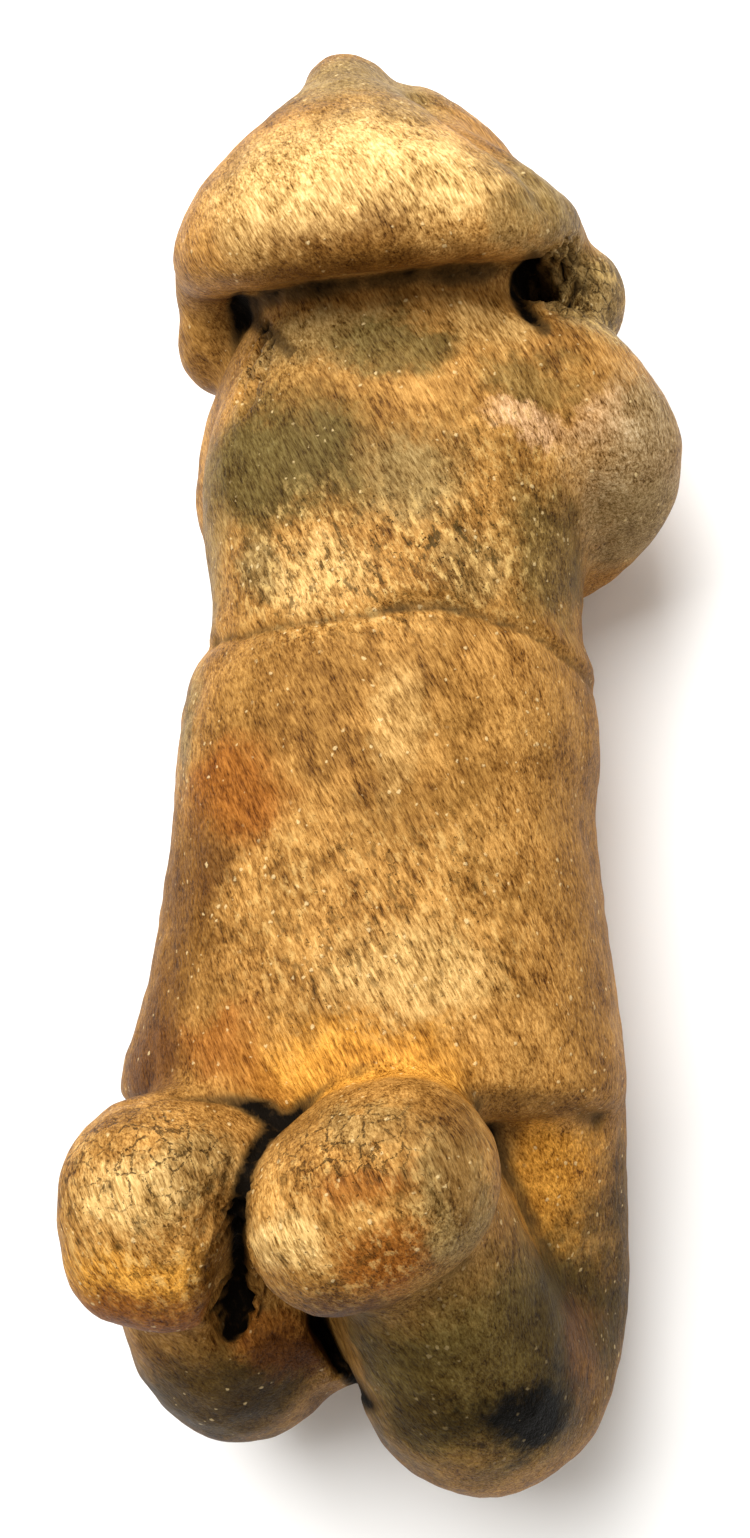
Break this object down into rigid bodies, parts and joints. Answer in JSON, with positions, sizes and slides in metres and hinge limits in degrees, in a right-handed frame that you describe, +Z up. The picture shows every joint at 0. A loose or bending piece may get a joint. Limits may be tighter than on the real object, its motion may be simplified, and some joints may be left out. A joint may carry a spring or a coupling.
{
  "type": "pottery human figure",
  "caption": "Small solid fired-clay figure of a person with legs folded back, a peaked head-dress and hands on the belly, lying on its front with the back up",
  "frame": {"origin": "middle of the box around the figure, at the level of the table it lies on", "axes": "+Z up out of the figure's back, +Y along the body from the knees to the peak of the head-dress, +X towards the figure's own right side"},
  "size_m": [0.0634, 0.1598, 0.0556],
  "materials": {
    "fired_clay": "satin"
  },
  "bodies": {
    "root": {"pottery_figure": "fired_clay"}
  },
  "joints": []
}
